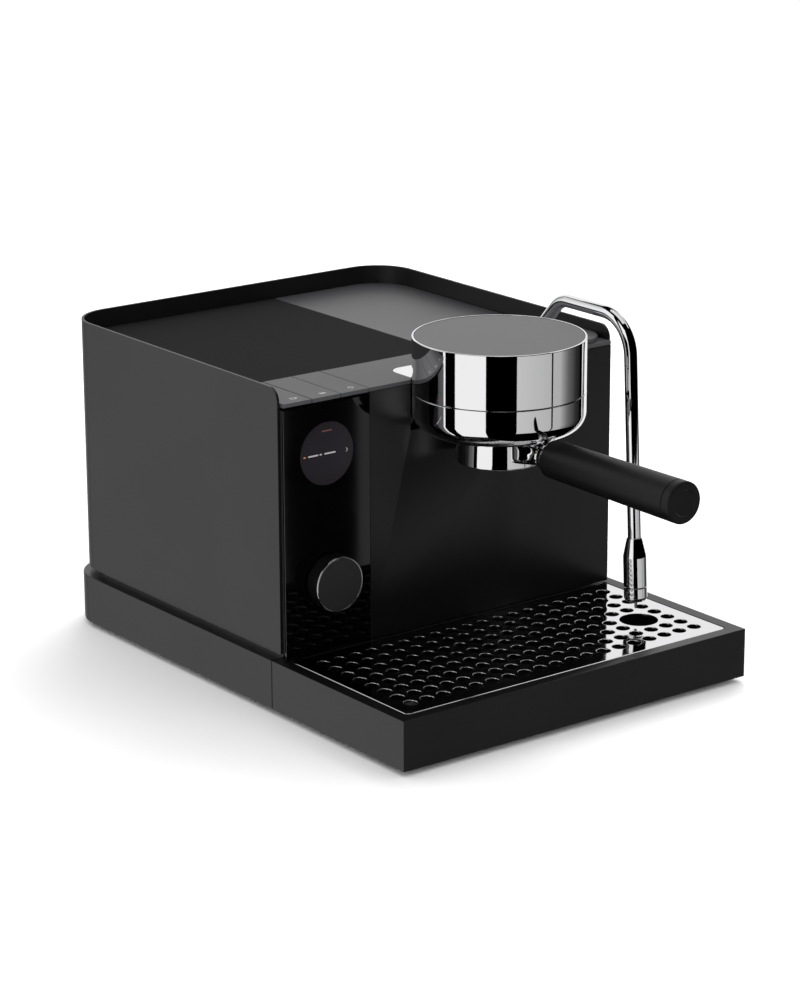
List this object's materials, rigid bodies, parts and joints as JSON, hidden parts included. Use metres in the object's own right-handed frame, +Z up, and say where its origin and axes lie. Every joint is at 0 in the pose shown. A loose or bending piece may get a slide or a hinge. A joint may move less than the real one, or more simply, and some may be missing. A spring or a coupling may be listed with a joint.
{
  "type": "espresso machine",
  "caption": "Low black espresso machine with a chrome group head, bottomless portafilter, steam wand, round display, knob, keys and a perforated drip tray.",
  "frame": {"origin": "middle of the bounding box on the surface the machine stands on", "axes": "+Z up, -Y to the front where the handle points, +X to the right seen from the front"},
  "size_m": [0.32, 0.5336, 0.2762],
  "materials": {
    "satin_black": "fine satin powder coat",
    "front_black": "smooth satin black",
    "strip_grey": "satin dark grey",
    "deck_black": "fine texture",
    "lid_grey": "satin smoke grey",
    "black_glass": "glossy black, opaque",
    "display": "dark display window",
    "knob_grey": "matte dark grey",
    "chrome": "polished",
    "cap_grey": "satin dark grey",
    "polished_steel": "mirror polished sheet",
    "steel": "plain steel",
    "brass": "machined",
    "black_plastic": "moulded",
    "grip_black": "satin",
    "rubber": "soft",
    "board_green": "circuit board",
    "tank_clear": "smoke clear",
    "tube_white": "PTFE",
    "float_red": "moulded"
  },
  "bodies": {
    "machine": {"base_plinth": "satin_black", "base_plate": "steel", "feet": "rubber", "screws": "steel", "frame": "steel", "shell": "satin_black", "front_panel": "front_black", "control_glass": "black_glass", "control_bezel": "black_plastic", "display_lens": "display", "display_module": "board_green", "top_strip": "strip_grey", "neck_plate": "chrome", "cup_deck": "deck_black", "wand_pad": "strip_grey", "wand_socket": "chrome", "key_axle": "steel", "key_board": "board_green", "knob_encoder": "steel", "head_cap": "cap_grey", "head_upper": "chrome", "head_lower": "chrome", "group_block": "brass", "group_arm": "steel", "group_gasket": "rubber", "shower_screen": "steel", "screen_screw": "steel", "tank_seat": "black_plastic", "boiler": "steel", "pump": "black_plastic", "pump_mounts": "rubber", "solenoid_valves": "brass", "main_board": "board_green", "power_inlet": "black_plastic", "water_tubes": "tube_white", "flow_meter": "black_plastic"},
    "knob_plunger": {"knob_shaft": "steel"},
    "knob": {"knob": "knob_grey", "knob_face": "knob_grey"},
    "key_1": {"key_1": "strip_grey"},
    "key_2": {"key_2": "strip_grey"},
    "key_3": {"key_3": "strip_grey"},
    "portafilter": {"pf_ring": "chrome", "pf_basket": "steel", "pf_neck": "chrome", "pf_ferrule": "chrome", "pf_rod": "steel", "pf_grip": "grip_black", "pf_end_cap": "grip_black"},
    "wand": {"wand_tube": "chrome", "wand_sleeve": "chrome", "wand_tip": "chrome", "wand_probe": "steel"},
    "tray": {"drip_tray": "satin_black"},
    "plate": {"drip_plate": "polished_steel"},
    "float": {"tray_float": "float_red"},
    "tank": {"water_tank": "tank_clear", "tank_valve": "black_plastic"},
    "lid": {"tank_lid": "lid_grey"}
  },
  "joints": [
    {"name": "knob_push", "type": "slide", "parent": "machine", "child": "knob_plunger", "axis": [0, 1, 0], "range_m": [0, 0.001], "stiffness_N_per_m": 2500},
    {"name": "knob_turn", "type": "hinge", "parent": "knob_plunger", "child": "knob", "pos_m": [-0.1149, -0.04195, 0.0971], "axis": [0, -1, 0], "continuous": true},
    {"name": "key_1_press", "type": "hinge", "parent": "machine", "child": "key_1", "pos_m": [-0.14023, 0.02955, 0.229], "axis": [1, 0, 0], "range_deg": [0, 1.3], "stiffness_Nm_per_rad": 6, "springref_deg": -1.72},
    {"name": "key_2_press", "type": "hinge", "parent": "machine", "child": "key_2", "pos_m": [-0.1149, 0.02955, 0.229], "axis": [1, 0, 0], "range_deg": [0, 1.3], "stiffness_Nm_per_rad": 6, "springref_deg": -1.72},
    {"name": "key_3_press", "type": "hinge", "parent": "machine", "child": "key_3", "pos_m": [-0.08957, 0.02955, 0.229], "axis": [1, 0, 0], "range_deg": [0, 1.3], "stiffness_Nm_per_rad": 6, "springref_deg": -1.72},
    {"name": "portafilter_turn", "type": "hinge", "parent": "machine", "child": "portafilter", "pos_m": [0.013, -0.06475, 0.204], "axis": [0, 0, 1], "range_deg": [-50, 0]},
    {"name": "wand_swivel", "type": "hinge", "parent": "machine", "child": "wand", "pos_m": [0.111, 0.01035, 0.2402], "axis": [0, 0, 1], "range_deg": [-8, 75]},
    {"name": "tray_pull", "type": "slide", "parent": "machine", "child": "tray", "axis": [0, -1, 0], "range_m": [0, 0.15]},
    {"name": "plate_lift", "type": "slide", "parent": "tray", "child": "plate", "axis": [0, 0, 1], "range_m": [0, 0.006]},
    {"name": "float_rise", "type": "slide", "parent": "tray", "child": "float", "axis": [0, 0, 1], "range_m": [0, 0.008]},
    {"name": "tank_lift", "type": "slide", "parent": "machine", "child": "tank", "axis": [0, 0, 1], "range_m": [0, 0.19]},
    {"name": "lid_lift", "type": "slide", "parent": "tank", "child": "lid", "axis": [0, 0, 1], "range_m": [0, 0.04]}
  ]
}
